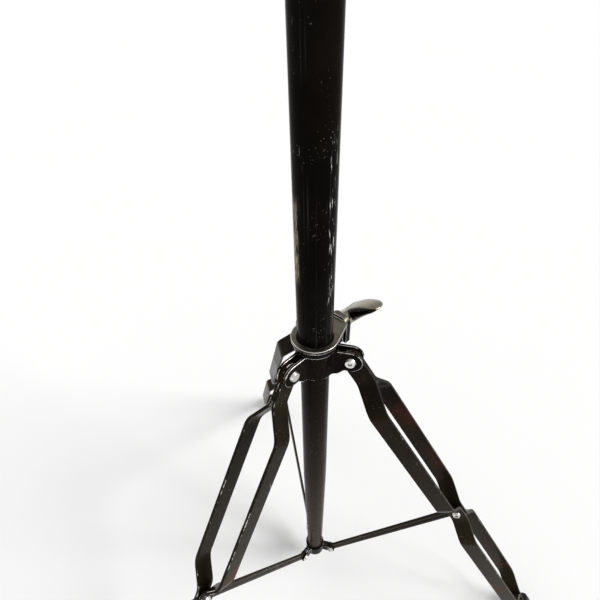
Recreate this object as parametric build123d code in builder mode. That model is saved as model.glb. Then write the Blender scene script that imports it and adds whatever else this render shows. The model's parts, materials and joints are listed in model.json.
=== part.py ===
from build123d import *
import math
import os

# Trumpet stand: a folding double-strip tripod, a clamped telescopic mast and a padded bell peg.
# Millimetres. +Z is up, Z = 0 is the floor and the Z axis is the centre line of the tubes.
# The stand is drawn open and standing, which is the rest pose of every joint.

# Azimuths, in degrees from +X towards +Y
LEG_AZIMUTHS = {"right": 330, "left": 210, "rear": 90}
PLATE_AZIMUTHS = {"front": 270, "right": 30, "left": 150}
SCREW_AZIMUTH = 30

# Main tube, with a thinner post that slides in its lower end
TUBE_R = 12.7
TUBE_WALL = 1.52
TUBE_BOTTOM = 362.0
TUBE_TOP = 640.0
POST_R = 11.1
POST_WALL = 1.2
POST_TOP = 490.0
POST_BOTTOM = 20.0
SWAGE_TOP = 200.0
SWAGE_BOTTOM = 55.0
POST_FOOT_R = 8.9

# Leg linkage in the vertical plane of each leg
PIVOT_R = 26.6
PIVOT_Z = 375.0
JOINT_R = 137.5
JOINT_Z = 191.0
SPREADER_R = 20.0
SPREADER_Z = 32.0
LEG_TILT = math.degrees(math.atan2(JOINT_R - PIVOT_R, PIVOT_Z - JOINT_Z))
JOINT_STATION = math.hypot(JOINT_R - PIVOT_R, PIVOT_Z - JOINT_Z)
FLOOR_STATION = PIVOT_Z / math.cos(math.radians(LEG_TILT))

# Leg strips: stations are distances along the leg from the hub pivot
STRIP_T = 2.5
STRIP_W = 15.0
STRIP_BEND_R = 15.0
STRIP_SPREAD = 15.4
STRIP_END_ROUND = STRIP_W / 2 - 0.05
HUB_FLAT_END = 26.0
UPPER_SLOT_START = 48.0
UPPER_SLOT_END = 186.0
PINCH_START = 204.0
PINCH_END = 226.0
LOWER_SLOT_START = 244.0
LOWER_SLOT_END = 381.0
FOOT_FLAT_START = 398.0
STRIP_END = FLOOR_STATION - 8.0
FOOT_RIVET_STATION = 408.0

# Braces, and the clevises that hold them on the post
BRACE_T = 2.4
BRACE_W = 8.6
SIDE_PLAY = 0.1
RING_R = 10.8
RING_BOTTOM = 24.0
RING_TOP = 40.0
RING_ROUND = 1.5
CLEVIS_T = 1.8
CLEVIS_PLAY = 0.25
CLEVIS_END_R = 5.2

# Hub plates, folded from sheet
PLATE_T = 2.0
PLATE_BOTTOM = 361.0
PLATE_TOP = 384.0
EAR_R = 9.0
EAR_PLAY = 0.15
EAR_NECK_R = 17.5
EAR_FLARE = 5.0
PLATE_BEND_R = 4.5

# Hub collar: a teardrop flange on a short sleeve, with an end block for the clamp screw
COLLAR_TOP = 392.5
COLLAR_T = 2.4
COLLAR_R = 17.4
COLLAR_BORE_R = 13.4
SLEEVE_R = 15.6
FLANGE_END = 25.5
FLANGE_END_W = 19.0
FLANGE_CORNER_R = 1.0
WEB_START = 15.2
WEB_W = 11.0
BLOCK_END = 30.5
BLOCK_W = 17.0
BLOCK_BOTTOM = 371.5
BLOCK_TOP = 394.8
BLOCK_CROWN_R = 6.0
SCREW_Z = 385.5

# Wing screws
SCREW_R = 3.0
SCREW_HOLE_R = 3.06
SCREW_CLEARANCE_R = 3.5
SCREW_TIP_R = 11.5
WING_BOSS_R = 6.0
WING_BOSS_H = 16.0
WING_START = 5.0
WING_DEPTH = 22.0
WING_SHOULDER_DEPTH = 21.2
WING_TIP_DEPTH = 16.0
WING_REACH = 30.0
WING_BOSS_TAPER = 3.0
WING_ROOT = 5.4
WING_CROWN_R = 90.0
WING_TIP = 2.0
WING_ROUND = 1.0
WING_ANGLE = 140.0
SEAT_GAP = 0.4

# Mast clamp, its plastic bush and the upper tube
CLAMP_R = 17.0
CLAMP_BOTTOM = 611.0
CLAMP_TOP = 639.0
CLAMP_SCREW_Z = 625.0
CLAMP_LUG_W = 14.0
CLAMP_LUG_END = 27.0
CLAMP_LUG_ROUND = 3.0
BUSH_BORE_R = 9.57
BUSH_R = 11.15
BUSH_BOTTOM = 604.0
BUSH_TOP = 642.5
BUSH_ROUND = 1.0
MAST_R = 9.5
MAST_WALL = 1.4
MAST_BOTTOM = 440.0
MAST_TOP = 800.0

# Bell peg
CUP_R = 31.0
CUP_T = 1.6
CUP_DEPTH = 5.0
PAD_R = 33.0
PAD_T = 7.0
PAD_ROUND = 1.2
PEG_BASE_R = 19.0
PEG_TIP_R = 10.0
PEG_HEIGHT = 104.0
PEG_CORE_R = 9.0
PEG_SHOULDER = 2.0
PEG_PLAY = 0.1
PEG_STEP = 0.5
PEG_FIN_T = 4.0
PEG_FINS = 4
STUD_R = 4.0
STUD_H = 26.0
STUD_END_PLAY = 1.0
PLUG_LENGTH = 18.0
TIP_HEIGHT = 16.0
TIP_LIP = 1.0

# Rivets
PIVOT_RIVET_R = 3.0
JOINT_RIVET_R = 2.2
RUNNING_CLEARANCE = 0.06
PIVOT_HEAD_R = 4.4
JOINT_HEAD_R = 3.8
HEAD_H = 1.9
HEAD_TAPER = 28.0
DIMPLE_R = 1.7
DIMPLE_DEPTH = 1.0

# Rubber feet
FOOT_START = 416.0
FOOT_W = 22.0
FOOT_T = 15.0
FOOT_LIP = 2.5


def radial(azimuth):
    """Unit vector away from the Z axis."""
    return Vector(math.cos(math.radians(azimuth)), math.sin(math.radians(azimuth)), 0)


def tangent(azimuth):
    """Unit vector to the left of radial(azimuth), seen from above."""
    return radial(azimuth + 90)


def at(radius, azimuth, height):
    """Point at a distance from the Z axis."""
    return radial(azimuth) * radius + Vector(0, 0, height)


def leg_plane(azimuth):
    """Origin at the hub pivot, X down the leg, Y across it, Z to its outer edge."""
    tilt = math.radians(LEG_TILT)
    along = radial(azimuth) * math.sin(tilt) - Vector(0, 0, math.cos(tilt))
    across = tangent(azimuth)
    return Plane(at(PIVOT_R, azimuth, PIVOT_Z), x_dir=along, z_dir=along.cross(across))


def side_plane(azimuth, radius, height, offset=0.0):
    """X outward, Y up, and Z across the leg, towards its clockwise side."""
    origin = at(radius, azimuth, height) - tangent(azimuth) * offset
    return Plane(origin, x_dir=radial(azimuth), z_dir=-tangent(azimuth))


def screw_plane(radius, height):
    """Origin on the clamp screw's axis, Z outward along the screw, Y up."""
    across = radial(SCREW_AZIMUTH - 90)
    return Plane(at(radius, SCREW_AZIMUTH, height), x_dir=-across, z_dir=radial(SCREW_AZIMUTH))


def save(piece, name):
    piece.part.label = name
    export_step(piece.part, f"parts/{name}.step")


def tube(radius, wall, bottom, top):
    with BuildPart() as piece:
        with BuildSketch(Plane.XY.offset(bottom)):
            Circle(radius)
            Circle(radius - wall, mode=Mode.SUBTRACT)
        extrude(amount=top - bottom)
    return piece


def screw_hole(height):
    """Cuts the clamp screw's clearance hole through one wall of the part being built."""
    with BuildSketch(screw_plane(0, height)) as hole:
        Circle(SCREW_CLEARANCE_R)
    extrude(hole.sketch, amount=BLOCK_END, mode=Mode.SUBTRACT)


def main_tube():
    with BuildPart() as piece:
        add(tube(TUBE_R, TUBE_WALL, TUBE_BOTTOM, TUBE_TOP).part)
        screw_hole(SCREW_Z)
        screw_hole(CLAMP_SCREW_Z)
    return piece


def lower_post():
    """Plain above, drawn in to a smaller foot below."""
    bore = POST_R - POST_WALL
    foot_bore = POST_FOOT_R - POST_WALL
    with BuildPart() as piece:
        with BuildSketch(Plane.XZ):
            with BuildLine():
                Polyline(
                    (foot_bore, POST_BOTTOM),
                    (POST_FOOT_R, POST_BOTTOM),
                    (POST_FOOT_R, SWAGE_BOTTOM),
                    (POST_R, SWAGE_TOP),
                    (POST_R, POST_TOP),
                    (bore, POST_TOP),
                    (bore, SWAGE_TOP),
                    (foot_bore, SWAGE_BOTTOM),
                    close=True,
                )
            make_face()
        revolve(axis=Axis.Z)
    return piece


def clevis_ear(azimuth, side):
    """One ear beside a brace's inner end, rounded about the spreader pivot."""
    inner = BRACE_T / 2 + CLEVIS_PLAY
    start = inner if side > 0 else -inner
    with BuildSketch(side_plane(azimuth, 0, SPREADER_Z, start)) as outline:
        with Locations((SPREADER_R, 0)):
            Circle(CLEVIS_END_R)
        with Locations((SPREADER_R / 2 + POST_FOOT_R / 2, 0)):
            Rectangle(SPREADER_R - POST_FOOT_R, 2 * CLEVIS_END_R)
        with Locations((SPREADER_R, 0)):
            Circle(JOINT_RIVET_R, mode=Mode.SUBTRACT)
    extrude(outline.sketch, amount=side * CLEVIS_T)


def spreader():
    """Ring on the post's foot with three pairs of ears."""
    with BuildPart() as piece:
        for azimuth in LEG_AZIMUTHS.values():
            clevis_ear(azimuth, 1)
            clevis_ear(azimuth, -1)
        with BuildSketch(Plane.XY.offset(RING_BOTTOM)):
            Circle(RING_R)
        extrude(amount=RING_TOP - RING_BOTTOM)
        with BuildSketch(Plane.XY):
            Circle(POST_FOOT_R)
        extrude(amount=RING_TOP, mode=Mode.SUBTRACT)
        rim = piece.edges().filter_by(GeomType.CIRCLE).group_by(Axis.Z)[-1]
        fillet(rim.sort_by(SortBy.RADIUS)[-1], RING_ROUND)
    return piece


def rivet_end(plane, head_r, dimpled=False):
    """Low domed head, standing on the plane and pointing along its Z."""
    with BuildSketch(plane) as head:
        Circle(head_r)
    extrude(head.sketch, amount=HEAD_H, taper=HEAD_TAPER)
    if dimpled:
        with BuildSketch(plane.offset(HEAD_H)) as dimple:
            Circle(DIMPLE_R)
        extrude(dimple.sketch, amount=-DIMPLE_DEPTH, mode=Mode.SUBTRACT)


def rivet_across(azimuth, radius, height, half_grip, shank_r, head_r):
    """Rivet along the leg's hinge axis: a plain head on one side and a dimpled one on the other."""
    plain = side_plane(azimuth, radius, height, -half_grip)
    plain = Plane(plain.origin, x_dir=plain.x_dir, z_dir=-plain.z_dir)
    dimpled = side_plane(azimuth, radius, height, half_grip)
    with BuildSketch(dimpled) as shank:
        Circle(shank_r)
    extrude(shank.sketch, amount=-2 * half_grip)
    rivet_end(plain, head_r)
    rivet_end(dimpled, head_r, dimpled=True)


def hub_rivets():
    grip = STRIP_T + EAR_PLAY + PLATE_T + SIDE_PLAY / 2
    with BuildPart() as piece:
        for azimuth in LEG_AZIMUTHS.values():
            rivet_across(azimuth, PIVOT_R, PIVOT_Z, grip, PIVOT_RIVET_R, PIVOT_HEAD_R)
    return piece


def spreader_rivets():
    """Rivet ends in the clevis ears. The stretch between the ears is left out, as open play."""
    inner = BRACE_T / 2 + CLEVIS_PLAY
    with BuildPart() as piece:
        for azimuth in LEG_AZIMUTHS.values():
            for side in (1, -1):
                face = side_plane(azimuth, SPREADER_R, SPREADER_Z, side * (inner + CLEVIS_T))
                outward = Plane(face.origin, x_dir=face.x_dir, z_dir=face.z_dir * side)
                with BuildSketch(outward) as shank:
                    Circle(JOINT_RIVET_R)
                extrude(shank.sketch, amount=-CLEVIS_T)
                rivet_end(outward, JOINT_HEAD_R, dimpled=side > 0)
    return piece


def plate_plan():
    """Plan of one hub plate: a waist round the tube and an ear beside each of two legs."""
    gap = STRIP_T + SIDE_PLAY / 2 + EAR_PLAY
    reach = PIVOT_R + EAR_R
    Circle(TUBE_R + PLATE_T)
    for turn in (60, -60):
        side = math.copysign(1, turn)
        with Locations(Location((0, 0), turn)):
            with Locations((reach / 2, -side * (gap + PLATE_T / 2))):
                Rectangle(reach, PLATE_T)
    Circle(TUBE_R, mode=Mode.SUBTRACT)
    for turn in (60, -60):
        side = math.copysign(1, turn)
        with Locations(Location((0, 0), turn)):
            with Locations((0, side * (reach - gap))):
                Rectangle(2 * reach, 2 * reach, mode=Mode.SUBTRACT)


def ear_trim(azimuth, turn):
    """Cuts one ear to its side outline, rounded about the leg's pivot."""
    leg = azimuth + turn
    width = PIVOT_R + 2 * EAR_R - EAR_NECK_R
    with BuildSketch(side_plane(leg, 0, PIVOT_Z)) as waste:
        with Locations((EAR_NECK_R + width / 2, 0)):
            Rectangle(width, 4 * EAR_R)
        with Locations((PIVOT_R, 0)):
            Circle(EAR_R, mode=Mode.SUBTRACT)
        Polygon(
            (PIVOT_R, EAR_R),
            (EAR_NECK_R, EAR_R),
            (EAR_NECK_R, -EAR_R - EAR_FLARE),
            (EAR_NECK_R + EAR_FLARE, -EAR_R),
            (PIVOT_R, -EAR_R),
            align=None,
            mode=Mode.SUBTRACT,
        )
        with Locations((PIVOT_R, 0)):
            Circle(PIVOT_RIVET_R)
    extrude(waste.sketch, amount=math.copysign(TUBE_R, turn), mode=Mode.SUBTRACT)


def on_waist(edge):
    """True for an upright edge where an ear leaves the outside of a plate's waist."""
    middle = edge.center()
    return math.isclose(math.hypot(middle.X, middle.Y), TUBE_R + PLATE_T, abs_tol=0.01)


def hub_plate(azimuth):
    turned = Plane((0, 0, PLATE_BOTTOM), x_dir=radial(azimuth), z_dir=(0, 0, 1))
    with BuildPart() as piece:
        with BuildSketch(turned):
            plate_plan()
        extrude(amount=PLATE_TOP - PLATE_BOTTOM)
        folds = piece.edges().filter_by(Axis.Z).filter_by(on_waist)
        folds = folds.sort_by(Axis((0, 0, 0), tuple(tangent(azimuth))))
        fillet([folds[0], folds[-1]], PLATE_BEND_R)
        for turn in (60, -60):
            ear_trim(azimuth, turn)
        if azimuth == SCREW_AZIMUTH:
            screw_hole(SCREW_Z)
    return piece


def leg_strip(azimuth, side):
    """Flat strip that bows out twice, between the hub, the brace joint and the foot."""
    plane = leg_plane(azimuth)
    hub_y = side * SIDE_PLAY / 2
    pinch_y = side * (BRACE_T / 2 + SIDE_PLAY)
    bow_y = side * (STRIP_SPREAD - STRIP_T / 2)
    route = [
        (-STRIP_W / 2, hub_y),
        (HUB_FLAT_END, hub_y),
        (UPPER_SLOT_START, bow_y),
        (UPPER_SLOT_END, bow_y),
        (PINCH_START, pinch_y),
        (PINCH_END, pinch_y),
        (LOWER_SLOT_START, bow_y),
        (LOWER_SLOT_END, bow_y),
        (FOOT_FLAT_START, hub_y),
        (STRIP_END, hub_y),
    ]
    with BuildPart() as piece:
        with BuildSketch(plane):
            with BuildLine():
                FilletPolyline(*route, radius=STRIP_BEND_R)
                offset(amount=STRIP_T, side=Side.LEFT if side > 0 else Side.RIGHT)
            make_face()
        extrude(amount=STRIP_W / 2, both=True)
        across = Axis(plane.origin, plane.y_dir)
        along = Axis(plane.origin, plane.x_dir)
        corners = piece.edges().filter_by(across).group_by(along)
        fillet(corners[0], STRIP_END_ROUND)
        for station, radius in (
            (0, PIVOT_RIVET_R),
            (JOINT_STATION, JOINT_RIVET_R),
            (FOOT_RIVET_STATION, JOINT_RIVET_R),
        ):
            clearance = RUNNING_CLEARANCE if station == 0 else 0
            with BuildSketch(Plane(plane.origin, x_dir=plane.x_dir, z_dir=plane.y_dir)):
                with Locations((station, 0)):
                    Circle(radius + clearance)
            extrude(amount=STRIP_SPREAD, both=True, mode=Mode.SUBTRACT)
    return piece


def station_point(station):
    """Radius and height of a point on a leg's centre line."""
    tilt = math.radians(LEG_TILT)
    return PIVOT_R + station * math.sin(tilt), PIVOT_Z - station * math.cos(tilt)


def joint_rivet(azimuth):
    grip = BRACE_T / 2 + SIDE_PLAY + STRIP_T
    with BuildPart() as piece:
        rivet_across(azimuth, JOINT_R, JOINT_Z, grip, JOINT_RIVET_R, JOINT_HEAD_R)
    return piece


def foot_rivet(azimuth):
    radius, height = station_point(FOOT_RIVET_STATION)
    with BuildPart() as piece:
        rivet_across(azimuth, radius, height, STRIP_T + SIDE_PLAY / 2, JOINT_RIVET_R, JOINT_HEAD_R)
    return piece


def rubber_foot(azimuth):
    """Boot on the joined strip ends, cut flat where it meets the floor."""
    plane = leg_plane(azimuth)
    with BuildPart() as piece:
        with BuildSketch(plane):
            with Locations((FOOT_START + FOOT_W, 0)):
                RectangleRounded(2 * FOOT_W, FOOT_T, FOOT_LIP)
        extrude(amount=FOOT_W / 2, both=True)
        corners = piece.edges().filter_by(Axis(plane.origin, plane.y_dir))
        fillet(corners, FOOT_LIP)
        with BuildSketch(plane):
            with Locations((STRIP_END - FOOT_W, 0)):
                Rectangle(2 * FOOT_W, 2 * STRIP_T + SIDE_PLAY)
        extrude(amount=STRIP_W / 2, both=True, mode=Mode.SUBTRACT)
        split(bisect_by=Plane.XY, keep=Keep.TOP)
    return piece


def brace(azimuth):
    """Flat strip from the leg's brace joint down to the spreader clevis."""
    start = at(JOINT_R, azimuth, JOINT_Z)
    end = at(SPREADER_R, azimuth, SPREADER_Z)
    plane = Plane((start + end) / 2, x_dir=end - start, z_dir=tangent(azimuth))
    length = (end - start).length
    with BuildPart() as piece:
        with BuildSketch(plane):
            SlotCenterToCenter(length, BRACE_W)
            with Locations((length / 2, 0), (-length / 2, 0)):
                Circle(JOINT_RIVET_R + RUNNING_CLEARANCE, mode=Mode.SUBTRACT)
        extrude(amount=BRACE_T / 2, both=True)
    return piece


def flange_outline(plane):
    """Teardrop: a round with straight sides that run out to the end block."""
    with BuildSketch(plane) as outline:
        with BuildSketch(mode=Mode.PRIVATE) as drop:
            Circle(COLLAR_R)
            for side in (1, -1):
                corner_y = side * (FLANGE_END_W / 2 - FLANGE_CORNER_R)
                with Locations((FLANGE_END - FLANGE_CORNER_R, corner_y)):
                    Circle(FLANGE_CORNER_R)
            make_hull()
        add(drop.sketch)
    return outline.sketch


def end_block(plane):
    """Section of the end block, seen along the screw."""
    with BuildSketch(plane) as outline:
        with Locations((0, (BLOCK_TOP + BLOCK_BOTTOM) / 2)):
            Rectangle(BLOCK_W, BLOCK_TOP - BLOCK_BOTTOM)
        fillet(outline.vertices().group_by(Axis.Y)[-1], BLOCK_CROWN_R)
    return outline.sketch


def hub_collar():
    """Flange and sleeve round the main tube's end, joined by a web to the screw's end block."""
    flange_bottom = COLLAR_TOP - COLLAR_T
    flange_plane = Plane((0, 0, flange_bottom), x_dir=radial(SCREW_AZIMUTH), z_dir=(0, 0, 1))
    web_plane = Plane((0, 0, BLOCK_BOTTOM), x_dir=radial(SCREW_AZIMUTH), z_dir=(0, 0, 1))
    with BuildPart() as piece:
        extrude(flange_outline(flange_plane), amount=COLLAR_T)
        with BuildSketch(web_plane):
            with Locations(((WEB_START + FLANGE_END) / 2, 0)):
                Rectangle(FLANGE_END - WEB_START, WEB_W)
        extrude(amount=flange_bottom - BLOCK_BOTTOM)
        extrude(end_block(screw_plane(FLANGE_END, 0)), amount=BLOCK_END - FLANGE_END)
        with BuildSketch(Plane.XY.offset(PLATE_TOP)):
            Circle(SLEEVE_R)
        extrude(amount=flange_bottom - PLATE_TOP)
        with BuildSketch(Plane.XY.offset(PLATE_TOP)):
            Circle(TUBE_R)
        extrude(amount=COLLAR_TOP - PLATE_TOP, mode=Mode.SUBTRACT)
        with BuildSketch(Plane.XY.offset(flange_bottom)):
            Circle(COLLAR_BORE_R)
        extrude(amount=COLLAR_T, mode=Mode.SUBTRACT)
        with BuildSketch(screw_plane(0, SCREW_Z)):
            Circle(SCREW_HOLE_R)
        extrude(amount=BLOCK_END, mode=Mode.SUBTRACT)
    return piece


def clamp_screw(seat_r, height):
    """Plain shank from the wing to a flat tip that bears on the inner tube."""
    with BuildPart() as piece:
        with BuildSketch(screw_plane(SCREW_TIP_R, height)):
            Circle(SCREW_R)
        extrude(amount=seat_r + WING_BOSS_H / 2 - SCREW_TIP_R)
    return piece


def wing_front(plane):
    """Both wings seen along the screw, the second being the first turned half round."""
    with BuildSketch(plane) as outline:
        with BuildLine():
            crown = RadiusArc((0, -WING_ROOT), (WING_REACH, -WING_TIP / 2), WING_CROWN_R)
            tip = Line(crown @ 1, (WING_REACH, WING_TIP))
            Line(tip @ 1, (0, WING_ROOT))
            low_crown = RadiusArc((0, WING_ROOT), (-WING_REACH, WING_TIP / 2), WING_CROWN_R)
            low_tip = Line(low_crown @ 1, (-WING_REACH, -WING_TIP))
            Line(low_tip @ 1, (0, -WING_ROOT))
        make_face()
        fillet(outline.vertices(), WING_ROUND)
    return outline.sketch


def wing_side(plane):
    """Both wings seen from beside the screw: flat towards the tube and crowned outward."""
    with BuildSketch(plane) as outline:
        with BuildLine():
            seat_line = Line((-WING_REACH, WING_START), (WING_REACH, WING_START))
            near_tip = Line(seat_line @ 1, (WING_REACH, WING_TIP_DEPTH))
            shoulder = (WING_REACH / 2, WING_SHOULDER_DEPTH)
            near_crown = ThreePointArc(near_tip @ 1, shoulder, (0, WING_DEPTH))
            shoulder = (-WING_REACH / 2, WING_SHOULDER_DEPTH)
            far_crown = ThreePointArc(near_crown @ 1, shoulder, (-WING_REACH, WING_TIP_DEPTH))
            Line(far_crown @ 1, seat_line @ 0)
        make_face()
    return outline.sketch


def wing_head(seat_r, height):
    """Boss and two wings, seated on the end face of a block or lug."""
    seat = screw_plane(seat_r, height)
    turn = math.radians(WING_ANGLE)
    along = seat.x_dir * math.cos(turn) + seat.y_dir * math.sin(turn)
    front = Plane(seat.origin, x_dir=along, z_dir=seat.z_dir)
    side = Plane(seat.origin, x_dir=along, z_dir=along.cross(seat.z_dir))
    with BuildPart() as piece:
        extrude(wing_front(front), amount=WING_DEPTH)
        extrude(wing_side(side), amount=2 * WING_ROOT, both=True, mode=Mode.INTERSECT)
        with BuildSketch(seat):
            Circle(WING_BOSS_R)
        extrude(amount=WING_BOSS_H, taper=WING_BOSS_TAPER)
        with BuildSketch(seat):
            Circle(SCREW_R)
        extrude(amount=WING_BOSS_H / 2, mode=Mode.SUBTRACT)
    return piece


def mast_clamp():
    """Ring round the top of the main tube with a lug for its own wing screw."""
    plane = Plane((0, 0, CLAMP_BOTTOM), x_dir=radial(SCREW_AZIMUTH), z_dir=(0, 0, 1))
    with BuildPart() as piece:
        with BuildSketch(plane):
            Circle(CLAMP_R)
            with Locations((CLAMP_LUG_END / 2, 0)):
                Rectangle(CLAMP_LUG_END, CLAMP_LUG_W)
            Circle(TUBE_R, mode=Mode.SUBTRACT)
        extrude(amount=CLAMP_TOP - CLAMP_BOTTOM)
        outward = Axis((0, 0, 0), tuple(radial(SCREW_AZIMUTH)))
        corners = piece.edges().filter_by(Axis.Z).sort_by(outward)
        fillet(corners[-2:], CLAMP_LUG_ROUND)
        with BuildSketch(screw_plane(0, CLAMP_SCREW_Z)):
            Circle(SCREW_HOLE_R)
        extrude(amount=CLAMP_LUG_END, mode=Mode.SUBTRACT)
    return piece


def mast_bush():
    """Flanged plastic sleeve between the main tube and the upper tube."""
    with BuildPart() as piece:
        with BuildSketch(Plane.XY.offset(BUSH_BOTTOM)):
            Circle(BUSH_R)
        extrude(amount=TUBE_TOP - BUSH_BOTTOM)
        with BuildSketch(Plane.XY.offset(TUBE_TOP)):
            Circle(TUBE_R)
        extrude(amount=BUSH_TOP - TUBE_TOP)
        fillet(piece.edges().filter_by(GeomType.CIRCLE).group_by(Axis.Z)[-1], BUSH_ROUND)
        with BuildSketch(Plane.XY.offset(BUSH_BOTTOM)):
            Circle(BUSH_BORE_R)
        extrude(amount=BUSH_TOP - BUSH_BOTTOM, mode=Mode.SUBTRACT)
    return piece


def mast_plug():
    """Plug in the top of the upper tube, with the stud that the peg turns on."""
    with BuildPart() as piece:
        with BuildSketch(Plane.XY.offset(MAST_TOP - PLUG_LENGTH)):
            Circle(MAST_R - MAST_WALL)
        extrude(amount=PLUG_LENGTH)
        with BuildSketch(Plane.XY.offset(MAST_TOP)):
            Circle(STUD_R)
        extrude(amount=STUD_H)
    return piece


def stud_hole(depth):
    """Cuts the stud's hole up into the part being built."""
    with BuildSketch(Plane.XY.offset(MAST_TOP)) as hole:
        Circle(STUD_R + RUNNING_CLEARANCE)
    extrude(hole.sketch, amount=depth, mode=Mode.SUBTRACT)


def rest_cup():
    """Dished steel washer under the felt."""
    with BuildPart() as piece:
        with BuildSketch(Plane.XZ):
            with BuildLine():
                Polyline(
                    (0, MAST_TOP),
                    (CUP_R - CUP_DEPTH, MAST_TOP),
                    (CUP_R, MAST_TOP + CUP_DEPTH),
                    (CUP_R - CUP_T, MAST_TOP + CUP_DEPTH),
                    (CUP_R - CUP_DEPTH - CUP_T / 2, MAST_TOP + CUP_T),
                    (0, MAST_TOP + CUP_T),
                    close=True,
                )
            make_face()
        revolve(axis=Axis.Z)
        stud_hole(CUP_T)
    return piece


def rest_pad():
    """Felt ring that the bell's rim stands on."""
    bottom = MAST_TOP + CUP_T
    with BuildPart() as piece:
        with BuildSketch(Plane.XY.offset(bottom)):
            Circle(CUP_R - CUP_DEPTH - CUP_T)
        extrude(amount=CUP_DEPTH - CUP_T)
        with BuildSketch(Plane.XY.offset(MAST_TOP + CUP_DEPTH)):
            Circle(PAD_R)
        extrude(amount=PAD_T - CUP_DEPTH + CUP_T)
        fillet(piece.edges().filter_by(GeomType.CIRCLE).group_by(Axis.Z)[-1], PAD_ROUND)
        with BuildSketch(Plane.XY.offset(bottom)):
            Circle(PEG_BASE_R)
        extrude(amount=PAD_T, mode=Mode.SUBTRACT)
    return piece


def bell_peg():
    """Moulded core with four tapered fins that centre the bell's throat."""
    bottom = MAST_TOP + CUP_T
    pad_top = bottom + PAD_T
    top = bottom + PEG_HEIGHT
    with BuildPart() as piece:
        with BuildSketch(Plane.XY.offset(bottom)):
            Circle(PEG_BASE_R - PEG_PLAY)
        extrude(amount=PAD_T + PEG_SHOULDER)
        with BuildSketch(Plane.XY.offset(bottom)):
            Circle(PEG_CORE_R)
        extrude(amount=PEG_HEIGHT)
        for azimuth in range(0, 180, 360 // PEG_FINS):
            with BuildSketch(Plane((0, 0, 0), x_dir=radial(azimuth), z_dir=-tangent(azimuth))):
                with BuildLine():
                    Polyline(
                        (-PEG_BASE_R + PEG_STEP, pad_top),
                        (PEG_BASE_R - PEG_STEP, pad_top),
                        (PEG_TIP_R, top),
                        (-PEG_TIP_R, top),
                        close=True,
                    )
                make_face()
            extrude(amount=PEG_FIN_T / 2, both=True)
        stud_hole(STUD_H + STUD_END_PLAY)
    return piece


def peg_tip():
    """Soft rounded cap on the peg."""
    base = MAST_TOP + CUP_T + PEG_HEIGHT
    with BuildPart() as piece:
        with BuildSketch(Plane.XY.offset(base)):
            Circle(PEG_TIP_R + TIP_LIP)
        extrude(amount=TIP_HEIGHT)
        fillet(piece.edges().filter_by(GeomType.CIRCLE).group_by(Axis.Z)[-1], PEG_TIP_R - TIP_LIP)
        fillet(piece.edges().filter_by(GeomType.CIRCLE).group_by(Axis.Z)[0], TIP_LIP)
    return piece


def main():
    os.makedirs("parts", exist_ok=True)
    save(main_tube(), "main_tube")
    save(lower_post(), "lower_post")
    save(spreader(), "spreader")
    save(spreader_rivets(), "spreader_rivets")
    save(hub_rivets(), "hub_rivets")
    save(hub_collar(), "hub_collar")
    for side, azimuth in PLATE_AZIMUTHS.items():
        save(hub_plate(azimuth), f"hub_plate_{side}")
    for side, azimuth in LEG_AZIMUTHS.items():
        save(leg_strip(azimuth, 1), f"leg_{side}_strip_a")
        save(leg_strip(azimuth, -1), f"leg_{side}_strip_b")
        save(joint_rivet(azimuth), f"leg_{side}_joint_rivet")
        save(foot_rivet(azimuth), f"leg_{side}_foot_rivet")
        save(rubber_foot(azimuth), f"leg_{side}_foot")
        save(brace(azimuth), f"brace_{side}")
    hub_seat = BLOCK_END + SEAT_GAP
    clamp_seat = CLAMP_LUG_END + SEAT_GAP
    save(clamp_screw(hub_seat, SCREW_Z), "hub_screw")
    save(wing_head(hub_seat, SCREW_Z), "hub_wing")
    save(mast_clamp(), "mast_clamp")
    save(mast_bush(), "mast_bush")
    save(clamp_screw(clamp_seat, CLAMP_SCREW_Z), "mast_screw")
    save(wing_head(clamp_seat, CLAMP_SCREW_Z), "mast_wing")
    save(tube(MAST_R, MAST_WALL, MAST_BOTTOM, MAST_TOP), "mast_tube")
    save(mast_plug(), "mast_plug")
    save(rest_cup(), "rest_cup")
    save(rest_pad(), "rest_pad")
    save(bell_peg(), "bell_peg")
    save(peg_tip(), "peg_tip")


main()
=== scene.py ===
"""Trumpet stand: finishes, worn edges and small details round the CAD frame, on a pale studio floor."""

import json
import math

import bpy
import bmesh
from mathutils import Matrix, Vector, noise


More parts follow.
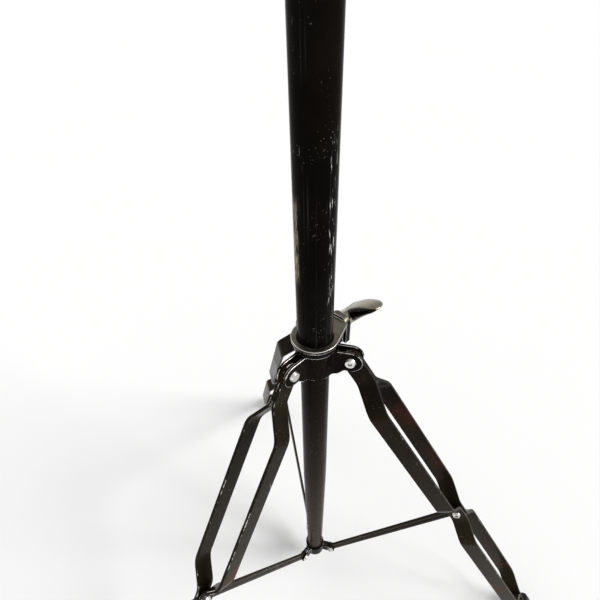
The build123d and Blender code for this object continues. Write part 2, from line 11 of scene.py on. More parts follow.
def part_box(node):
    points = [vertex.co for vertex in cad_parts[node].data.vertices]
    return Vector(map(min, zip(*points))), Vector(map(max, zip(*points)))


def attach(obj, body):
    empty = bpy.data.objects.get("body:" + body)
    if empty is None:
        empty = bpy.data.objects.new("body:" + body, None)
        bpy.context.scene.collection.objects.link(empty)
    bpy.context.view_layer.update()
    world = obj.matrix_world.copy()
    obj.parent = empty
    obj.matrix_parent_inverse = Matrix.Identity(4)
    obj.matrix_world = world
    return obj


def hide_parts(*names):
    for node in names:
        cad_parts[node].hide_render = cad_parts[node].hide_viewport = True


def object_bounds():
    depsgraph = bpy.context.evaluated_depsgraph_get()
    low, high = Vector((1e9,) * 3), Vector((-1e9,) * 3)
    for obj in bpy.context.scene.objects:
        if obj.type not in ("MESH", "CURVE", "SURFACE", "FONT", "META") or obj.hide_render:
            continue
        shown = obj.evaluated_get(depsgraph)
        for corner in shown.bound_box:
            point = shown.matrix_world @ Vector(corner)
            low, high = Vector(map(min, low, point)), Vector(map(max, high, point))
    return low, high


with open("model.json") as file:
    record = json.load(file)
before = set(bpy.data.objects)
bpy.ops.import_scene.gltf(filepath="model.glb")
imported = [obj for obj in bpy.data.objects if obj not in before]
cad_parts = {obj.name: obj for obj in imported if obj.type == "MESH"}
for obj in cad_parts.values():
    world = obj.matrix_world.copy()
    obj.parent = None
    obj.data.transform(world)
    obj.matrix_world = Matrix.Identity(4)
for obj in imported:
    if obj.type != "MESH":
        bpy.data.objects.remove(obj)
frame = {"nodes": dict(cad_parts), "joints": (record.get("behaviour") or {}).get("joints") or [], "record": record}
cad_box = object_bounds()
nodes = frame["nodes"]

MM = 0.001
LEGS = ("right", "left", "rear")

# Camera, from the tubes' centre line on the floor
CAMERA_PLACE = Vector((-64.2, -197.9, 590.0)) * MM
CAMERA_HEADING = math.radians(74.76)
CAMERA_DOWN = math.radians(38.48)
CAMERA_ROLL = math.radians(-1.646)
CAMERA_LENS_MM = 24.16

# Studio: floor half width in metres, its gap under the feet, and brightness of the walls and of the ceiling
FLOOR_HALF = 60.0
FLOOR_GAP = 0.05 * MM
WALL_LEVEL = 0.95
WALL_TOP = 0.45
OVERHEAD_LEVEL = 0.53

# Scratches and a painted reflection band on the main tube: headings in degrees round it, heights in metres
SCRATCH_HEADINGS = (-68, -50)
SCRATCH_HEIGHTS = (0.436, 0.522)
REFLECTION_START = 0.0114
REFLECTION_FULL = 0.0123
REFLECTION_HEIGHTS = (0.452, 0.489)

# Wing heads: millimetres along the screw from its seat, the share of a wing's length where its tip
# starts to close, thickness above and below its middle plane, and the boss's (depth, radius)
WING_NEAR = 5.0
WING_FAR = 25.5
WING_TIP_START = 0.76
WING_TIP_POWER = 2.4
WING_NEAR_RISE = 1.5
WING_FAR_FALL = 5.5
WING_CROWN = {"root": 4.8, "tip": 1.2, "belly": 9.0}
WING_UNDER = {"root": 5.0, "tip": 1.6, "belly": -3.4}
WING_SQUARE = 2.9
WING_STEPS = 26
BOSS_PROFILE = ((0.0, 5.2), (0.35, 5.9), (8.0, 5.7), (14.0, 5.3), (15.4, 4.7), (16.0, 3.6))
CAST_VOXEL = 0.5 * MM
CAST_PASSES = 7
SCREW_HEADING = math.radians(30)

# Rubber boots, as (millimetres down the leg, inset); the sole counts up from the floor instead
BOOT_GROOVES = 3
GROOVE_PITCH = 2.6
GROOVES_START = 3.9
BOOT_SQUARE = 5.5
BOOT_LIP = ((0.0, 3.2), (0.0, 1.3), (0.35, 0.5), (1.1, 0.1), (2.6, 0.1), (3.3, 0.5), (3.9, 0.9))
GROOVE = ((0.5, 0.95), (0.9, 0.3), (1.2, 0.1), (2.0, 0.1), (2.3, 0.3), (2.6, 0.95))
BOOT_SHOULDER = ((0.5, 0.9), (1.0, 0.35))
BOOT_SOLE = ((1.5, 0.0), (0.5, 0.15), (0.0, 0.8))
POCKET_DEPTHS = (2.6, 0.5)
POCKET_HALF = 2.75
POCKET_SQUARE = 9
POCKET_STRETCH = 0.45

# Felt ring, in millimetres: each profile point is offset from an edge and from the bottom or the top
FELT_HOLE = 19.1
FELT_DISH = 24.2
FELT_GROOVE_AT = 0.6
FELT_COUNT = 160
FELT_LUMPS = ((260, 0.14), (900, 0.07))
FELT_PROFILE = (
    ("hole", 0.0, "bottom", 0.3), ("hole", 0.4, "bottom", 0.05), ("dish", 0.0, "bottom", 0.05),
    ("dish", 1.6, "bottom", 2.3), ("dish", 3.4, "bottom", 3.45),
    ("rim", -1.6, "bottom", 3.5), ("rim", -0.5, "bottom", 3.9),
    ("rim", 0.1, "bottom", 5.0), ("rim", -0.3, "top", -0.7), ("rim", -1.4, "top", -0.1),
    ("groove", 2.2, "top", 0.0), ("groove", 1.0, "top", -0.35), ("groove", 0.0, "top", -0.5),
    ("groove", -1.0, "top", -0.35), ("groove", -2.2, "top", 0.0),
    ("hole", 1.2, "top", -0.1), ("hole", 0.3, "top", -0.6),
)

# Rounding of the sheared, turned and cast edges
STRIP_EDGE = 0.35 * MM
TUBE_EDGE = 0.25 * MM
PRESSED_EDGE = 0.6 * MM
COLLAR_EDGE = 0.8 * MM
RIVET_EDGE = 0.3 * MM
MOULDED_EDGE = 0.5 * MM
SHARP = math.radians(28)


# Node trees


class Finish:
    """One procedural material, built node by node."""

    def __init__(self, name):
        self.material = bpy.data.materials.new(name)
        self.material.use_nodes = True
        self.tree = self.material.node_tree
        self.shader = self.tree.nodes["Principled BSDF"]
        self.place = self.add("ShaderNodeTexCoord").outputs["Object"]
        self.across, self.deep, self.height = self.apart(self.place)

    def add(self, kind, **settings):
        node = self.tree.nodes.new(kind)
        for key, value in settings.items():
            setattr(node, key, value)
        return node

    def feed(self, socket, value):
        if isinstance(value, bpy.types.NodeSocket):
            self.tree.links.new(value, socket)
        else:
            socket.default_value = value

    def math(self, operation, a, b=0.0, clamp=False):
        node = self.add("ShaderNodeMath", operation=operation, use_clamp=clamp)
        self.feed(node.inputs[0], a)
        self.feed(node.inputs[1], b)
        return node.outputs[0]

    def apart(self, vector):
        node = self.add("ShaderNodeSeparateXYZ")
        self.feed(node.inputs[0], vector)
        return node.outputs

    def turned_to(self, way):
        """How far the surface faces a direction: one straight at it, minus one straight away."""
        normal = self.add("ShaderNodeTexCoord").outputs["Normal"]
        node = self.add("ShaderNodeVectorMath", operation="DOT_PRODUCT")
        self.feed(node.inputs[0], normal)
        node.inputs[1].default_value = way
        return node.outputs["Value"]

    def crevices(self, reach):
        """One deep in corners and recesses, nothing on open surfaces."""
        node = self.add("ShaderNodeAmbientOcclusion", samples=6)
        node.inputs["Distance"].default_value = reach
        return self.ramp(node.outputs["AO"], 0.35, 0.8, 1.0, 0.0)

    def edges(self, reach):
        """The rounded normal near sharp edges, and a mask that is one on them."""
        node = self.add("ShaderNodeBevel", samples=6)
        node.inputs["Radius"].default_value = reach
        flat = self.add("ShaderNodeNewGeometry").outputs["Normal"]
        dot = self.add("ShaderNodeVectorMath", operation="DOT_PRODUCT")
        self.feed(dot.inputs[0], node.outputs[0])
        self.feed(dot.inputs[1], flat)
        return node.outputs[0], self.ramp(dot.outputs["Value"], 0.985, 0.9, 0.0, 1.0)

    def heading(self):
        """Compass heading of the surface point round the tubes' axis, in degrees."""
        return self.math("MULTIPLY", self.math("ARCTAN2", self.deep, self.across), math.degrees(1))

    def band(self, value, low, high, soft):
        """One between two values, fading to nothing outside them."""
        rise = self.ramp(value, low - soft, low)
        return self.math("MULTIPLY", rise, self.ramp(value, high, high + soft, 1.0, 0.0))

    def stretched(self, scale, turn=(0, 0, 0)):
        node = self.add("ShaderNodeMapping")
        self.feed(node.inputs["Vector"], self.place)
        node.inputs["Scale"].default_value = scale
        node.inputs["Rotation"].default_value = turn
        return node.outputs[0]

    def noise(self, scale, detail=4.0, roughness=0.6, place=None, distortion=0.0):
        node = self.add("ShaderNodeTexNoise")
        self.feed(node.inputs["Vector"], place or self.place)
        node.inputs["Scale"].default_value = scale
        node.inputs["Detail"].default_value = detail
        node.inputs["Roughness"].default_value = roughness
        node.inputs["Distortion"].default_value = distortion
        return node.outputs["Fac"]

    def ramp(self, value, low, high, to_low=0.0, to_high=1.0):
        node = self.add("ShaderNodeMapRange", interpolation_type="SMOOTHSTEP")
        self.feed(node.inputs["Value"], value)
        node.inputs["From Min"].default_value = low
        node.inputs["From Max"].default_value = high
        node.inputs["To Min"].default_value = to_low
        node.inputs["To Max"].default_value = to_high
        return node.outputs["Result"]

    def mix(self, factor, a, b):
        node = self.add("ShaderNodeMix", data_type="RGBA")
        self.feed(node.inputs["Factor"], factor)
        self.feed(node.inputs["A"], a if isinstance(a, bpy.types.NodeSocket) else (*a, 1.0))
        self.feed(node.inputs["B"], b if isinstance(b, bpy.types.NodeSocket) else (*b, 1.0))
        return node.outputs["Result"]

    def set(self, **values):
        for key, value in values.items():
            self.feed(self.shader.inputs[key.replace("_", " ")], value)

    def bump(self, height, depth, strength=1.0, below=None):
        node = self.add("ShaderNodeBump")
        node.inputs["Strength"].default_value = strength
        node.inputs["Distance"].default_value = depth
        self.feed(node.inputs["Height"], height)
        if below is not None:
            self.feed(node.inputs["Normal"], below)
        return node.outputs[0]


# Finishes

WARM = (1.0, 0.86, 0.64, 1.0)
BLACK = (0.0022, 0.0018, 0.0014)
TUBE_BROWN = (0.0035, 0.0027, 0.002)
PLATE_BROWN = (0.0052, 0.0036, 0.0026)
POST_BLACK = (0.0045, 0.0035, 0.0022)
POST_FOOT_TONE = (0.035, 0.0245, 0.0175)
STRIP_BLACK = (0.0062, 0.005, 0.0033)
STRIP_BROWN = (0.014, 0.0102, 0.0048)
STRIP_FOOT_TONE = (0.027, 0.0215, 0.0115)
DUST = (0.3, 0.27, 0.22)
SPECK = (0.6, 0.58, 0.53)
SCUFF = (0.5, 0.48, 0.43)
# Warm brown of the tube's painted reflection band.
REFLECTION_BROWN = (0.36, 0.32, 0.22)
STEEL = (0.85, 0.83, 0.77)
# Colour of the tube's painted reflection streaks.
STREAK_REFLECTION = (0.11, 0.105, 0.095)
BARE_METAL = (0.8, 0.79, 0.75)
RUST = (0.085, 0.02, 0.013)
PIT = (0.05, 0.045, 0.04)
BRIGHT_RIM = (0.95, 0.93, 0.85)
# Near black of the wing heads' painted dark reflection.
PAINTED_DARK_REFLECTION = (0.012, 0.011, 0.009)
# Dark colour of the rivets' painted shade.
CREVICE_SHADE = (0.02, 0.018, 0.015)
FELT_DARK = (0.014, 0.014, 0.016)
FELT_LIGHT = (0.036, 0.035, 0.037)
FIBRE = (0.1, 0.1, 0.105)
PAPER_DARK = (0.915, 0.915, 0.912)
PAPER_LIGHT = (0.935, 0.935, 0.932)


def enamel(name, black, brown, shine, gloss, dust=0.3, wear=0.35, lighter_foot=None):
    """Gloss black paint: brownish where it is thin, dusty, finely pitted and scuffed."""
    f = Finish(name)
    paint = f.mix(f.ramp(f.noise(22, 3), 0.35, 0.7), black, brown)
    # Lighter towards the bottom: below the upper height the colour fades to the foot tone, full at the lower
    # height.
    if lighter_foot:
        low, high, foot_tone_and_dust = lighter_foot
        paint = f.mix(f.ramp(f.height, high, low), paint, foot_tone_and_dust)
    foot_tone_and_dust = f.math("MULTIPLY", f.ramp(f.noise(14, 5, 0.7), 0.4, 0.8), dust * 0.05)
    paint = f.mix(foot_tone_and_dust, paint, DUST)
    specks = f.math("MULTIPLY", f.ramp(f.noise(900, 1, 0.5), 0.69, 0.73), f.ramp(f.noise(60, 2), 0.42, 0.7))
    paint = f.mix(f.math("MULTIPLY", specks, dust), paint, SPECK)
    along = f.noise(1.0, 3, 0.65, f.stretched((700, 700, 26), (0.25, 0.1, 0.0)))
    scuffs = f.math("MULTIPLY", f.ramp(along, 0.665, 0.72), f.ramp(f.noise(30, 2), 0.5, 0.72))
    scuffs = f.math("MULTIPLY", scuffs, wear, clamp=True)
    f.paint = f.mix(scuffs, paint, SCUFF)
    smear = f.ramp(f.noise(36, 5, 0.65), 0.3, 0.8, gloss * 0.8, gloss * 1.7)
    f.rough = f.math("ADD", smear, f.math("MULTIPLY", scuffs, 0.4), clamp=True)
    f.skin = f.bump(f.noise(520, 2, 0.5), 0.00004, 0.3)
    f.set(Base_Color=f.paint, Roughness=f.rough, Normal=f.skin)
    f.set(Specular_IOR_Level=shine, Specular_Tint=WARM)
    return f


def tube_enamel(name):
    """The main tube's enamel, with scratches that the sliding clamp and years of packing left on it, a painted
    warm reflection along one edge and faint painted reflection streaks.
    """
    f = enamel(name, BLACK, TUBE_BROWN, 0.018, 0.12, dust=0.24, wear=0.3)
    heading = f.heading()
    fine = f.noise(1.0, 4, 0.7, f.stretched((1500, 1500, 70)))
    coarse = f.noise(1.0, 2, 0.6, f.stretched((500, 500, 90)))
    scratches = f.math("MULTIPLY", f.ramp(fine, 0.53, 0.6), f.ramp(coarse, 0.5, 0.62))
    scratches = f.math("MULTIPLY", scratches, f.band(heading, *SCRATCH_HEADINGS, 4))
    scratches = f.math("MULTIPLY", scratches, f.band(f.height, *SCRATCH_HEIGHTS, 12 * MM), clamp=True)
    # A warm brown band along the edge at minus x, between two heights: a painted reflection.
    edge_reflection = f.ramp(f.noise(1.0, 5, 0.75, f.stretched((900, 900, 110))), 0.42, 0.62)
    edge_reflection = f.math("MULTIPLY", edge_reflection, f.ramp(f.across, -REFLECTION_START, -REFLECTION_FULL))
    edge_reflection = f.math("MULTIPLY", edge_reflection, f.band(f.height, *REFLECTION_HEIGHTS, 14 * MM), clamp=True)
    # Faint light vertical streaks up the tube: painted reflection streaks.
    reflection_streaks = f.ramp(f.noise(1.0, 1, 0.5, f.stretched((850, 850, 3.2))), 0.66, 0.7)
    reflection_streaks = f.math("MULTIPLY", reflection_streaks, f.ramp(f.noise(12, 2), 0.45, 0.65, 0.0, 0.3))
    paint = f.mix(reflection_streaks, f.paint, STREAK_REFLECTION)
    paint = f.mix(edge_reflection, paint, REFLECTION_BROWN)
    f.set(Base_Color=f.mix(scratches, paint, BARE_METAL))
    # The scratches and the painted reflection band, both made rougher and cut in.
    scratches_and_reflection = f.math("ADD", scratches, edge_reflection)
    f.set(Roughness=f.math("ADD", f.rough, f.math("MULTIPLY", scratches_and_reflection, 0.3), clamp=True))
    cut = f.math("MULTIPLY", scratches_and_reflection, -1.0)
    f.set(Normal=f.bump(cut, 0.00008, 0.5, f.skin))
    return f


def strip_enamel(name):
    """The legs' and braces' enamel: browner, with rust showing faintly red through it."""
    # Lighter towards the foot, from 0.38 m down.
    foot_tone_and_dust = (0.0, 0.38, STRIP_FOOT_TONE)
    f = enamel(name, STRIP_BLACK, STRIP_BROWN, 0.03, 0.22, dust=0.22, wear=0.4, lighter_foot=foot_tone_and_dust)
    rust = f.math("MULTIPLY", f.ramp(f.noise(9, 2), 0.55, 0.69), f.ramp(f.noise(70, 4, 0.7), 0.3, 0.6))
    f.set(Base_Color=f.mix(f.math("MULTIPLY", rust, 0.85), f.paint, RUST))
    return f


def worn_edge(name, paint, steel, bare=0.5):
    """The rounded edges of painted sheet: rubbed through to the steel in places."""
    f = Finish(name)
    chips = f.ramp(f.noise(64, 9, 0.82), 0.58 - bare * 0.2, 0.63 - bare * 0.2)
    along = f.ramp(f.noise(13, 4), 0.52 - bare * 0.22, 0.64 - bare * 0.22)
    rubbed = f.math("MULTIPLY", chips, along, clamp=True)
    f.set(Base_Color=f.mix(rubbed, paint, steel), Metallic=rubbed)
    f.set(Roughness=f.ramp(f.noise(300, 3), 0.2, 0.8, 0.3, 0.5), Specular_IOR_Level=0.05)
    return f


def nickel(name, colour, dark, rough, grain=(900, 900, 60), cast=0.0):
    """Plated metal, darkened in patches, with a fine grain or a cast skin."""
    f = Finish(name)
    stain = f.ramp(f.noise(42, 6, 0.65), 0.35, 0.75)
    tint = f.mix(stain, colour, dark)
    pits = f.ramp(f.noise(620, 2), 0.64, 0.7)
    f.set(Base_Color=f.mix(f.math("MULTIPLY", pits, 0.6), tint, PIT))
    brushed = f.noise(1.0, 3, 0.6, f.stretched(grain))
    uneven = f.ramp(f.noise(80, 5, 0.7), 0.25, 0.8, rough * 0.7, rough * 1.5)
    f.set(Metallic=1.0, Roughness=f.math("ADD", uneven, f.math("MULTIPLY", brushed, 0.06)))
    skin = f.bump(f.noise(260, 4, 0.6), 0.00012 * cast + 0.00001, 0.6)
    f.set(Normal=f.bump(brushed, 0.00002, 0.5, skin))
    return f


def collar_nickel(name):
    """The collar's plating: mottled on its upward faces, and near black down its walls as painted shade."""
    f = nickel(name, (0.22, 0.2, 0.155), (0.1, 0.088, 0.066), 0.3, cast=0.6)
    # Upward faces show the plating; the walls and undersides go black as painted shade.
    top = f.ramp(f.turned_to((0, 0, 1)), 0.35, 0.75)
    plated = f.shader.inputs["Base Color"].links[0].from_socket
    chips = f.ramp(f.noise(170, 5, 0.7), 0.6, 0.66)
    rounded, rims = f.edges(1.1 * MM)
    rims = f.math("MULTIPLY", rims, f.ramp(f.noise(130, 4, 0.7), 0.3, 0.45))
    bare = f.math("MAXIMUM", f.math("MAXIMUM", top, chips), rims)
    # painted: black on the walls and undersides as painted shade, the plating on upward faces, chips and rims.
    painted = f.mix(bare, BLACK, plated)
    f.set(Base_Color=f.mix(rims, painted, BRIGHT_RIM), Metallic=bare, Specular_IOR_Level=0.05)
    f.set(Normal=f.bump(f.noise(260, 4, 0.6), 0.00006, 0.5, rounded))
    return f


def wing_nickel(name):
    """Cast wing heads: bright where thumbs have rubbed them, and near black on the side towards the tube as a
    painted dark reflection.
    """
    f = nickel(name, (0.34, 0.305, 0.24), (0.16, 0.14, 0.105), 0.22, cast=1.0)
    plated = f.shader.inputs["Base Color"].links[0].from_socket
    outward = (math.cos(SCREW_HEADING), math.sin(SCREW_HEADING), 0)
    # Faces turned towards the tube go near black in patches: a painted dark reflection.
    painted_dark_side = f.ramp(f.turned_to(outward), -0.5, -0.2, 1.0, 0.0)
    painted_dark_side = f.math("MULTIPLY", painted_dark_side, f.ramp(f.noise(190, 5, 0.7), 0.3, 0.42))
    f.set(Base_Color=f.mix(painted_dark_side, plated, PAINTED_DARK_REFLECTION))
    return f


def rivet_steel(name):
    """Bright rivets, with painted shade in their dimples and round their heads."""
    f = nickel(name, (0.86, 0.85, 0.82), (0.6, 0.58, 0.54), 0.24)
    bright = f.shader.inputs["Base Color"].links[0].from_socket
    # Ambient occlusion darkens the dimples and the ring round each head: painted shade.
    f.set(Base_Color=f.mix(f.crevices(1.6 * MM), bright, CREVICE_SHADE))
    return f


def plastic(name, colour, rough, grain, depth, shine=0.4):
    """Moulded plastic or rubber with a fine texture and a little dust in it."""
    f = Finish(name)
    dust = f.ramp(f.noise(70, 6, 0.7), 0.42, 0.85, 0.0, 0.22)
    lighter = tuple(min(1.0, c * 2.2 + 0.02) for c in colour)
    f.set(Base_Color=f.mix(dust, colour, lighter), Specular_IOR_Level=shine)
    f.set(Roughness=f.ramp(f.noise(50, 4), 0.3, 0.7, rough - 0.07, rough + 0.09))
    f.set(Normal=f.bump(f.noise(grain, 3, 0.6), depth, 0.7))
    return f


def wool_felt(name):
    """Pressed wool: matted fibres over a mottled dark grey, with a soft sheen."""
    f = Finish(name)
    fibres = f.noise(1.0, 4, 0.7, f.stretched((1500, 380, 900), (0.4, 0.7, 0.2)), 1.2)
    crossed = f.noise(1.0, 4, 0.7, f.stretched((420, 1600, 800), (0.9, 0.1, 1.3)), 1.2)
    matted = f.math("MAXIMUM", fibres, crossed)
    mottled = f.mix(f.ramp(f.noise(120, 4), 0.3, 0.7), FELT_DARK, FELT_LIGHT)
    f.set(Base_Color=f.mix(f.ramp(matted, 0.55, 0.75, 0.0, 0.6), mottled, FIBRE))
    f.set(Roughness=0.95, Sheen_Weight=0.3, Sheen_Roughness=0.5, Specular_IOR_Level=0.2)
    f.set(Normal=f.bump(matted, 0.0004, 0.9))
    return f


finishes = {
    "tube": tube_enamel("tube_enamel"),
    "post": enamel("post_enamel", POST_BLACK, PLATE_BROWN, 0.022, 0.2, dust=0.2, wear=0.15,
                   lighter_foot=(0.02, 0.36, POST_FOOT_TONE)),
    "strip": strip_enamel("strip_enamel"),
    "plate": enamel("plate_enamel", BLACK, PLATE_BROWN, 0.022, 0.17, dust=0.28),
    "edge": worn_edge("worn_edge", STRIP_BLACK, STEEL, bare=0.25),
    "plate_edge": worn_edge("worn_plate_edge", BLACK, STEEL, bare=0.58),
    "collar": collar_nickel("dark_nickel"),
    "collar_edge": nickel("rubbed_nickel", (0.95, 0.93, 0.86), (0.7, 0.67, 0.59), 0.42),
    "wing": wing_nickel("cast_nickel"),
    "rivet": rivet_steel("rivet_steel"),
    "zinc": nickel("zinc_steel", (0.55, 0.55, 0.53), (0.38, 0.38, 0.37), 0.33),
    "nylon": plastic("nylon", (0.02, 0.02, 0.02), 0.45, 900, 0.00003),
    "rubber": plastic("rubber", (0.014, 0.0135, 0.013), 0.68, 700, 0.00008),
    "peg": plastic("peg_plastic", (0.016, 0.016, 0.017), 0.5, 1100, 0.00006),
    "tip": plastic("soft_tip", (0.02, 0.0195, 0.019), 0.74, 800, 0.00006),
    "felt": wool_felt("wool_felt"),
}


# CAD nodes: finish, rounded edges


def dress(name, finish, edge_finish=None, width=STRIP_EDGE, segments=3):
    """Gives a CAD node its finish and rounds its sharp edges, which may have a finish of their own."""
    piece = nodes[name]
    piece.data.materials.clear()
    piece.data.materials.append(finishes[finish].material)
    piece.data.materials.append(finishes[edge_finish or finish].material)
    for face in piece.data.polygons:
        face.material_index = 0
        face.use_smooth = True
    weld = piece.modifiers.new("weld", "WELD")
    weld.merge_threshold = 0.002 * MM
    bevel = piece.modifiers.new("rounded_edges", "BEVEL")
    bevel.width = width
    bevel.segments = segments
    bevel.limit_method = "ANGLE"
    bevel.angle_limit = SHARP
    bevel.use_clamp_overlap = True
    bevel.material = 1
    shade = piece.modifiers.new("flat_faces", "WEIGHTED_NORMAL")
    shade.weight = 100


dress("main_tube", "tube", "edge", TUBE_EDGE)
dress("lower_post", "post", "edge", TUBE_EDGE)
dress("hub_collar", "collar", "collar_edge", COLLAR_EDGE)
for side in ("front", "right", "left"):
    dress(f"hub_plate_{side}", "plate", "plate_edge", PRESSED_EDGE)
dress("hub_rivets", "rivet", None, RIVET_EDGE)
dress("spreader", "plate", "plate_edge", TUBE_EDGE)
dress("spreader_rivets", "rivet", None, RIVET_EDGE)
dress("hub_screw", "zinc", None, TUBE_EDGE)
dress("mast_screw", "zinc", None, TUBE_EDGE)
for side in LEGS:
    for strip in "ab":
        dress(f"leg_{side}_strip_{strip}", "strip", "edge")
    dress(f"leg_{side}_joint_rivet", "rivet", None, RIVET_EDGE)
    dress(f"leg_{side}_foot_rivet", "rivet", None, RIVET_EDGE)
    dress(f"brace_{side}", "strip", "edge")
dress("mast_clamp", "plate", "plate_edge", PRESSED_EDGE)
dress("mast_bush", "nylon", None, TUBE_EDGE)
dress("mast_tube", "tube", "edge", TUBE_EDGE)
dress("mast_plug", "zinc", None, TUBE_EDGE)
dress("rest_cup", "zinc", None, TUBE_EDGE)
dress("bell_peg", "peg", None, MOULDED_EDGE)
dress("peg_tip", "tip", None, MOULDED_EDGE)


# Pieces with shapes of their own


def new_piece(name, mesh_builder, finish, body, node):
    """Makes a mesh object in place of a CAD node, with its finish and its body."""
    mesh = bpy.data.meshes.new(name)
    mesh_builder.normal_update()
    mesh_builder.to_mesh(mesh)
    mesh_builder.free()
    mesh.materials.append(finishes[finish].material)
    mesh.shade_smooth()
    piece = bpy.data.objects.new(name, mesh)
    bpy.context.collection.objects.link(piece)
    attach(piece, body)
    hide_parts(node)
    return piece


def rounded_ring(half_a, half_b, square, count):
    """Points of a superellipse: 2 is an ellipse, more is nearer to a rectangle."""
    for i in range(count):
        turn = 2 * math.pi * i / count
        a, b = math.cos(turn), math.sin(turn)
        power = 2 / square
        yield math.copysign(abs(a) ** power, a) * half_a, math.copysign(abs(b) ** power, b) * half_b


def skin_rings(mesh, rings):
    """Joins rings of equally many points into one closed skin."""
    rows = [[mesh.verts.new(point) for point in ring] for ring in rings]
    for low, high in zip(rows, rows[1:]):
        for i in range(len(low)):
            j = (i + 1) % len(low)
            mesh.faces.new((low[i], low[j], high[j], high[i]))
    mesh.faces.new(rows[0][::-1])
    mesh.faces.new(rows[-1])


def wing_section(u, sign, place):
    """One section of a wing: far from the tube it is crowned, and it closes to a round tip."""
    close = 1.0
    if u > WING_TIP_START:
        past = (u - WING_TIP_START) / (1 - WING_TIP_START)
        close = max(0.0, 1 - past ** WING_TIP_POWER) ** (1 / WING_TIP_POWER)
    near = WING_NEAR + WING_NEAR_RISE * u ** 3
    far = WING_FAR - WING_FAR_FALL * u ** 2.3
    sides = (WING_CROWN, WING_UNDER)
    crown, under = (t["root"] * (1 - u) + t["tip"] + t["belly"] * u * (1 - u) for t in sides)
    half_depth = (far - near) / 2 * max(close, 0.12)
    half_thick = (crown + under) / 2 * max(close, 0.3)
    depth = (far + near) / 2
    rise = (crown - under) / 2
    for a, b in rounded_ring(half_depth, half_thick, WING_SQUARE, 32):
        yield place(sign * u, -sign * (rise + b), depth + a)


def wing(name, node, body):
    """Cast wing head: two crowned wings and a boss melted together, as a casting is."""
    joint = next(j for j in frame["joints"] if j["child"] == body)
    origin = Vector(joint["pos_m"])
    axis = Vector(joint["axis"]).normalized()
    points = [v.co - origin for v in nodes[node].data.vertices]
    if sum(p.dot(axis) for p in points) < 0:
        axis.negate()
    seat = min(p.dot(axis) for p in points)
    spread = [p - axis * p.dot(axis) for p in points]
    reach = max(p.length for p in spread)
    furthest = max(spread, key=lambda p: p.length)
    tip = sum((p for p in spread if p.length > 0.95 * reach and p.dot(furthest) > 0), Vector())
    along = tip.normalized()
    across = axis.cross(along)

    def place(share, side, depth):
        return origin + along * (share * reach) + across * side * MM + axis * (seat + depth * MM)

    mesh = bmesh.new()
    for sign in (1, -1):
        skin_rings(mesh, [wing_section(i / WING_STEPS, sign, place) for i in range(WING_STEPS + 1)])
    boss = []
    for depth, radius in BOSS_PROFILE:
        boss.append([place(a * MM / reach, b, depth) for a, b in rounded_ring(radius, radius, 2, 40)])
    skin_rings(mesh, boss)
    bmesh.ops.recalc_face_normals(mesh, faces=mesh.faces)
    piece = new_piece(name, mesh, "wing", body, node)
    melt = piece.modifiers.new("melted_together", "REMESH")
    melt.mode = "VOXEL"
    melt.voxel_size = CAST_VOXEL
    melt.use_smooth_shade = True
    soften = piece.modifiers.new("cast_fillets", "SMOOTH")
    soften.factor = 0.5
    soften.iterations = CAST_PASSES
    return piece


def rubber_boot(side):
    """Ribbed boot on the ends of a leg's strips, moulded flat where it meets the floor."""
    record = frame["record"]
    node = f"leg_{side}_foot"
    pivot = Vector(next(j for j in frame["joints"] if j["name"] == f"leg_{side}_pivot")["pos_m"])
    sole = Vector(next(m for m in record["mounts"] if m["name"] == f"foot_{side}_sole")["pos_m"])
    along = (sole - pivot).normalized()
    across = along.cross(Vector((0, 0, 1))).normalized()
    outer = across.cross(along)
    points = [v.co - pivot for v in nodes[node].data.vertices]
    start = min(p.dot(along) for p in points)
    half_across = max(p.dot(across) for p in points)
    half_outer = max(p.dot(outer) for p in points)

    def ring(down, shrink, square=BOOT_SQUARE, to_floor=False):
        row = []
        for a, b in rounded_ring(half_across - shrink * MM, half_outer - shrink * MM, square, 64):
            point = pivot + across * a + outer * b
            if to_floor:
                point += along * ((down * MM - point.z) / along.z)
            else:
                point += along * (start + down * MM)
            row.append(point)
        return row

    mesh = bmesh.new()
    pocket = [ring(down, half_across / MM - POCKET_HALF, POCKET_SQUARE) for down in POCKET_DEPTHS]
    for row in pocket:
        for point in row:
            point += outer * ((point - pivot).dot(outer) * POCKET_STRETCH)
    rings = pocket + [ring(down, inset) for down, inset in BOOT_LIP]
    for groove in range(BOOT_GROOVES):
        top = GROOVES_START + GROOVE_PITCH * groove
        rings += [ring(top + down, inset) for down, inset in GROOVE]
    top = GROOVES_START + GROOVE_PITCH * BOOT_GROOVES
    rings += [ring(top + down, inset) for down, inset in BOOT_SHOULDER]
    rings += [ring(up, inset, to_floor=True) for up, inset in BOOT_SOLE]
    skin_rings(mesh, rings)
    bmesh.ops.recalc_face_normals(mesh, faces=mesh.faces)
    return new_piece(f"boot_{side}", mesh, "rubber", f"leg_{side}", node)


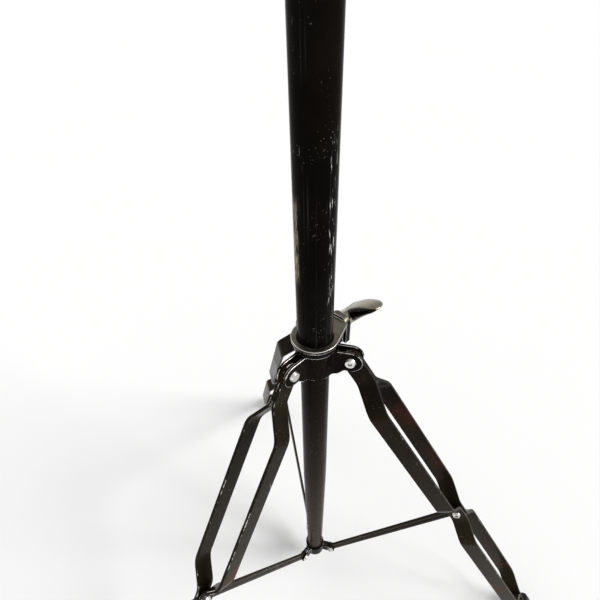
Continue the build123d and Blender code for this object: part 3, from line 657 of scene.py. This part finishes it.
def felt_ring():
    """Felt ring under the bell's rim: soft edges, a faint groove where rims have stood, uneven skin."""
    low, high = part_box("rest_pad")
    levels = {"bottom": low.z, "top": high.z}
    radii = {"hole": FELT_HOLE * MM, "dish": FELT_DISH * MM, "rim": high.x}
    radii["groove"] = FELT_GROOVE_AT * (radii["rim"] - radii["hole"]) + radii["hole"]
    profile = [(radii[edge] + out * MM, levels[level] + up * MM) for edge, out, level, up in FELT_PROFILE]
    mesh = bmesh.new()
    rows = []
    for i in range(FELT_COUNT):
        turn = 2 * math.pi * i / FELT_COUNT
        way = Vector((math.cos(turn), math.sin(turn), 0))
        row = []
        for radius, height in profile:
            point = way * radius + Vector((0, 0, height))
            lump = sum(noise.noise(point * scale) * size for scale, size in FELT_LUMPS)
            point += (way * 0.6 + Vector((0, 0, 0.8))) * lump * MM
            row.append(mesh.verts.new(point))
        rows.append(row)
    for i in range(FELT_COUNT):
        here, there = rows[i], rows[(i + 1) % FELT_COUNT]
        for j in range(len(profile)):
            k = (j + 1) % len(profile)
            mesh.faces.new((here[j], there[j], there[k], here[k]))
    bmesh.ops.recalc_face_normals(mesh, faces=mesh.faces)
    piece = new_piece("felt_ring", mesh, "felt", "peg", "rest_pad")
    soft = piece.modifiers.new("soft", "SUBSURF")
    soft.levels = soft.render_levels = 1


wing("hub_wing_head", "hub_wing", "hub_wing_screw")
wing("mast_wing_head", "mast_wing", "mast_wing_screw")
for side in LEGS:
    rubber_boot(side)
felt_ring()


# Studio


def floor():
    """A wide pale floor under the feet."""
    mesh = bpy.data.meshes.new("floor")
    corners = [(x * FLOOR_HALF, y * FLOOR_HALF, 0) for x, y in ((-1, -1), (1, -1), (1, 1), (-1, 1))]
    mesh.from_pydata(corners, [], [(0, 1, 2, 3)])
    piece = bpy.data.objects.new("floor", mesh)
    piece.location.z = cad_box[0].z - FLOOR_GAP
    bpy.context.collection.objects.link(piece)
    f = Finish("studio_floor")
    paper = f.mix(f.noise(0.9, 2), PAPER_DARK, PAPER_LIGHT)
    f.set(Base_Color=paper, Roughness=0.9, Specular_IOR_Level=0.0)
    mesh.materials.append(f.material)


def sun(name, heading, height, strength, softness):
    """A very large, distant soft box at a compass heading and height angle; all angles in degrees."""
    turn, rise = math.radians(heading), math.radians(height)
    way = Vector((math.cos(turn) * math.cos(rise), math.sin(turn) * math.cos(rise), math.sin(rise)))
    lamp = bpy.data.lights.new(name, "SUN")
    lamp.energy = strength
    lamp.angle = math.radians(softness)
    holder = bpy.data.objects.new(name, lamp)
    holder.rotation_euler = way.to_track_quat("Z", "Y").to_euler()
    bpy.context.collection.objects.link(holder)


def studio_walls():
    """Even pale light from all round, brighter near the floor than overhead."""
    world = bpy.data.worlds.new("studio")
    bpy.context.scene.world = world
    world.use_nodes = True
    tree = world.node_tree
    way = tree.nodes.new("ShaderNodeTexCoord")
    parts = tree.nodes.new("ShaderNodeSeparateXYZ")
    fade = tree.nodes.new("ShaderNodeMapRange")
    fade.inputs["From Min"].default_value = WALL_TOP
    fade.inputs["From Max"].default_value = 0.0
    fade.inputs["To Min"].default_value = OVERHEAD_LEVEL
    fade.inputs["To Max"].default_value = WALL_LEVEL
    tree.nodes["Background"].inputs["Color"].default_value = (1.0, 1.0, 1.0, 1.0)
    tree.links.new(way.outputs["Generated"], parts.inputs[0])
    tree.links.new(parts.outputs["Z"], fade.inputs["Value"])
    tree.links.new(fade.outputs["Result"], tree.nodes["Background"].inputs["Strength"])


def camera():
    """The viewpoint: close to the tubes, looking down at the hub."""
    ahead = Vector((math.cos(CAMERA_HEADING), math.sin(CAMERA_HEADING), 0)) * math.cos(CAMERA_DOWN)
    ahead.z = -math.sin(CAMERA_DOWN)
    level = Vector((math.sin(CAMERA_HEADING), -math.cos(CAMERA_HEADING), 0))
    over = level.cross(ahead)
    right = level * math.cos(CAMERA_ROLL) + over * math.sin(CAMERA_ROLL)
    up = over * math.cos(CAMERA_ROLL) - level * math.sin(CAMERA_ROLL)
    data = bpy.data.cameras.new("camera")
    data.lens = CAMERA_LENS_MM
    data.clip_start = 0.01
    holder = bpy.data.objects.new("camera", data)
    turn = Matrix((right, up, -ahead)).transposed()
    holder.matrix_world = Matrix.Translation(CAMERA_PLACE) @ turn.to_4x4()
    bpy.context.collection.objects.link(holder)
    bpy.context.scene.camera = holder


floor()
studio_walls()
sun("key_box", heading=-31, height=38, strength=2.4, softness=26)
sun("fill_box", heading=138, height=35, strength=0.3, softness=36)
camera()
bpy.context.scene.view_settings.view_transform = "Standard"
